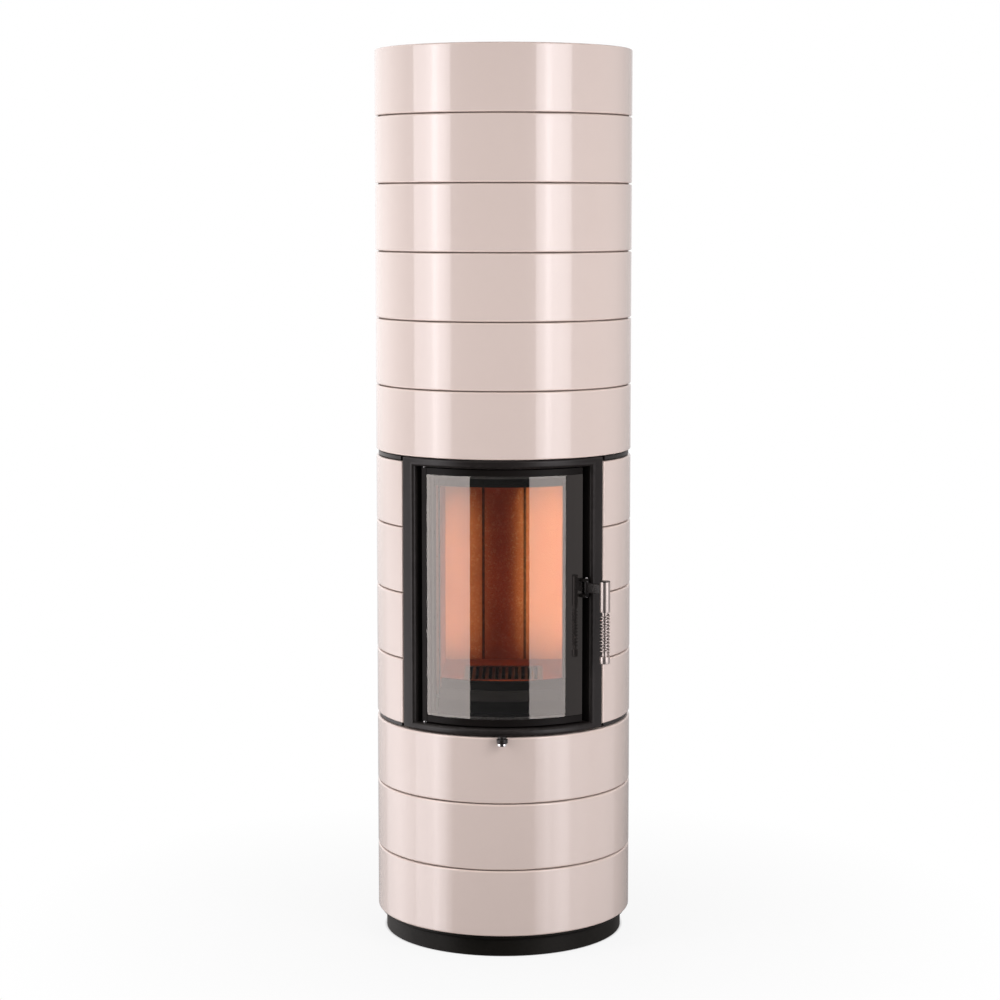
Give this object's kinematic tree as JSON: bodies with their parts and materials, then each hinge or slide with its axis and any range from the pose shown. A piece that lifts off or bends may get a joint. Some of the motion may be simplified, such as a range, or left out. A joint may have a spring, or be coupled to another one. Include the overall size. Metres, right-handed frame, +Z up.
{
  "type": "wood stove",
  "caption": "Tall round storage stove with a curved glass door, a cast firebox and a cladding of glazed ceramic rings.",
  "frame": {"origin": "on the floor, on the axis of the round stove", "axes": "+Z up, -Y out of the front through the door, +X towards the handle's side"},
  "size_m": [0.58, 0.635, 2.008],
  "materials": {
    "glazed_ceramic": "glossy cream glaze with a slight pink tone",
    "black_cast_iron": "satin black stove paint over fine cast grain",
    "black_steel": "matt black heat-resistant paint",
    "sheet_steel": "plain sheet steel",
    "bright_steel": "turned bright steel",
    "handle_steel": "polished stainless steel, fine turned marks",
    "fireclay": "rough fired clay, warm brick red",
    "vermiculite": "pressed grains, matt",
    "storage_brick": "dense cast storage brick, matt",
    "door_glass": "clear curved glass ceramic with a black printed border",
    "rope_seal": "braided glass fibre rope",
    "fibre_strip": "pressed fibre strip"
  },
  "bodies": {
    "stove": {"plinth_ring": "black_cast_iron", "levelling_feet": "black_steel", "base_plate": "black_cast_iron", "support_pillars": "black_steel", "lower_ring_1": "glazed_ceramic", "lower_ring_2": "glazed_ceramic", "lower_ring_3": "glazed_ceramic", "floor_plate": "black_steel", "air_spigot": "sheet_steel", "air_duct": "sheet_steel", "register_bolt": "bright_steel", "firebox_shell": "black_steel", "front_flange": "black_cast_iron", "surround_frame": "black_cast_iron", "frame_bolts": "bright_steel", "side_tiles_1": "glazed_ceramic", "side_tiles_2": "glazed_ceramic", "side_tiles_3": "glazed_ceramic", "side_tiles_4": "glazed_ceramic", "lining_back_centre": "fireclay", "lining_back_left": "fireclay", "lining_back_right": "fireclay", "lining_side_left": "fireclay", "lining_side_right": "fireclay", "hearth_bricks": "fireclay", "grate": "black_cast_iron", "ash_box": "black_steel", "ash_pan": "black_steel", "log_guard": "black_cast_iron", "baffle_plate": "vermiculite", "top_plate": "black_steel", "storage_layer_1": "storage_brick", "storage_layer_2": "storage_brick", "storage_layer_3": "storage_brick", "storage_layer_4": "storage_brick", "storage_layer_5": "storage_brick", "flue_spigot": "sheet_steel", "upper_ring_1": "glazed_ceramic", "upper_ring_2": "glazed_ceramic", "upper_ring_3": "glazed_ceramic", "upper_ring_4": "glazed_ceramic", "upper_ring_5": "glazed_ceramic", "upper_ring_6": "glazed_ceramic", "top_cover": "black_cast_iron", "ring_seam_strips": "fibre_strip", "hinge_pins": "bright_steel", "latch_keeper": "black_cast_iron"},
    "door": {"door_frame": "black_cast_iron", "door_glass": "door_glass", "glass_retainers": "black_steel", "glass_seal": "rope_seal", "door_seal": "rope_seal", "latch_pin": "bright_steel"},
    "latch": {"latch_lever": "black_steel", "handle_rod": "handle_steel", "handle_coil": "handle_steel", "handle_cap": "black_steel"},
    "air_register": {"register_disc": "sheet_steel", "air_lever": "black_steel", "air_knob": "bright_steel"}
  },
  "joints": [
    {"name": "door_hinge", "type": "hinge", "parent": "stove", "child": "door", "pos_m": [-0.17191, -0.21079, 0.8], "axis": [0, 0, -1], "range_deg": [0, 110]},
    {"name": "latch_pivot", "type": "hinge", "parent": "door", "child": "latch", "pos_m": [0.18546, -0.2111, 0.82], "axis": [0, 0, -1], "range_deg": [0, 18]},
    {"name": "air_lever_turn", "type": "hinge", "parent": "stove", "child": "air_register", "pos_m": [0, 0, 0.495], "axis": [0, 0, 1], "range_deg": [-20, 20]}
  ]
}
